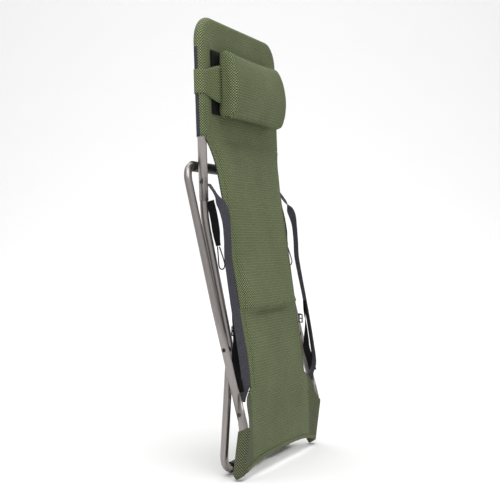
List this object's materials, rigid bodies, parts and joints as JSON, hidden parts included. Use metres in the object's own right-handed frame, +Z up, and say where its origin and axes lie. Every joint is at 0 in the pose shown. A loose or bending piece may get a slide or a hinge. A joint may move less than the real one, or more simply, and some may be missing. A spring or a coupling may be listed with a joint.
{
  "type": "folding camp chair",
  "caption": "High-backed folding camp chair with two crossed tube frames, a mesh sling, a sliding headrest and webbing armrests, folded and upright.",
  "frame": {"origin": "under the middle of the folded chair's box, on the surface that it stands on", "axes": "+Z up along the folded chair, the sling faces -Y, +X is the right side seen from the front"},
  "size_m": [0.5562, 0.178, 1.0966],
  "materials": {
    "frame_tube": "satin, titanium-grey",
    "sling_mesh": "woven PVC-coated mesh, olive green",
    "armrest_webbing": "slate-grey woven webbing",
    "black_webbing": "black woven webbing and cord",
    "black_plastic": "moulded, matte",
    "rivet_steel": "dark plated"
  },
  "bodies": {
    "back_frame": {"back_frame_tube": "frame_tube", "front_leg_tube": "frame_tube", "back_sleeve": "sling_mesh", "sling_back": "sling_mesh", "back_rivet_left": "rivet_steel", "pivot_pin_left": "rivet_steel", "pivot_washer_left": "black_plastic", "front_foot_left": "black_plastic", "side_tab_left": "black_webbing", "cord_loop_left": "black_webbing", "back_rivet_right": "rivet_steel", "pivot_pin_right": "rivet_steel", "pivot_washer_right": "black_plastic", "front_foot_right": "black_plastic", "side_tab_right": "black_webbing", "cord_loop_right": "black_webbing"},
    "seat_frame": {"rear_leg_tube": "frame_tube", "sling_seat": "sling_mesh", "front_arm_left": "frame_tube", "arm_plug_left": "black_plastic", "arm_rivet_left": "rivet_steel", "rear_foot_left": "black_plastic", "seat_pocket_left": "sling_mesh", "front_arm_right": "frame_tube", "arm_plug_right": "black_plastic", "arm_rivet_right": "rivet_steel", "rear_foot_right": "black_plastic", "seat_pocket_right": "sling_mesh"},
    "headrest": {"headrest_pad": "sling_mesh", "headrest_band": "sling_mesh"},
    "armrest_upper_left": {"armrest_upper_left": "armrest_webbing"},
    "armrest_lower_left": {"armrest_lower_left": "armrest_webbing", "adjuster_webbing_left": "black_webbing", "adjuster_buckle_left": "black_plastic"},
    "armrest_upper_right": {"armrest_upper_right": "armrest_webbing"},
    "armrest_lower_right": {"armrest_lower_right": "armrest_webbing", "adjuster_webbing_right": "black_webbing", "adjuster_buckle_right": "black_plastic"}
  },
  "joints": [
    {"name": "fold", "type": "hinge", "parent": "back_frame", "child": "seat_frame", "pos_m": [0, -0.02681, 0.30239], "axis": [-1, 0, 0], "range_deg": [0, 80]},
    {"name": "headrest_slide", "type": "slide", "parent": "back_frame", "child": "headrest", "axis": [0, 0.0352, 0.9994], "range_m": [-0.05, 0.02]},
    {"name": "armrest_swing_left", "type": "hinge", "parent": "back_frame", "child": "armrest_upper_left", "pos_m": [0, 0.04019, 0.69639], "axis": [-1, 0, 0], "range_deg": [0, 12.04]},
    {"name": "armrest_shorten_left", "type": "slide", "parent": "armrest_upper_left", "child": "armrest_lower_left", "axis": [0, 0.236, 0.9718], "range_m": [0, 0.10737]},
    {"name": "armrest_swing_right", "type": "hinge", "parent": "back_frame", "child": "armrest_upper_right", "pos_m": [0, 0.04019, 0.69639], "axis": [-1, 0, 0], "range_deg": [0, 12.04]},
    {"name": "armrest_shorten_right", "type": "slide", "parent": "armrest_upper_right", "child": "armrest_lower_right", "axis": [0, 0.236, 0.9718], "range_m": [0, 0.10737]}
  ],
  "couplings": [
    {"joint": "armrest_swing_left", "follows": "fold", "ratio": 0.14669},
    {"joint": "armrest_shorten_left", "follows": "fold", "m_per_rad": 0.07618},
    {"joint": "armrest_swing_right", "follows": "fold", "ratio": 0.14669},
    {"joint": "armrest_shorten_right", "follows": "fold", "m_per_rad": 0.07618}
  ]
}
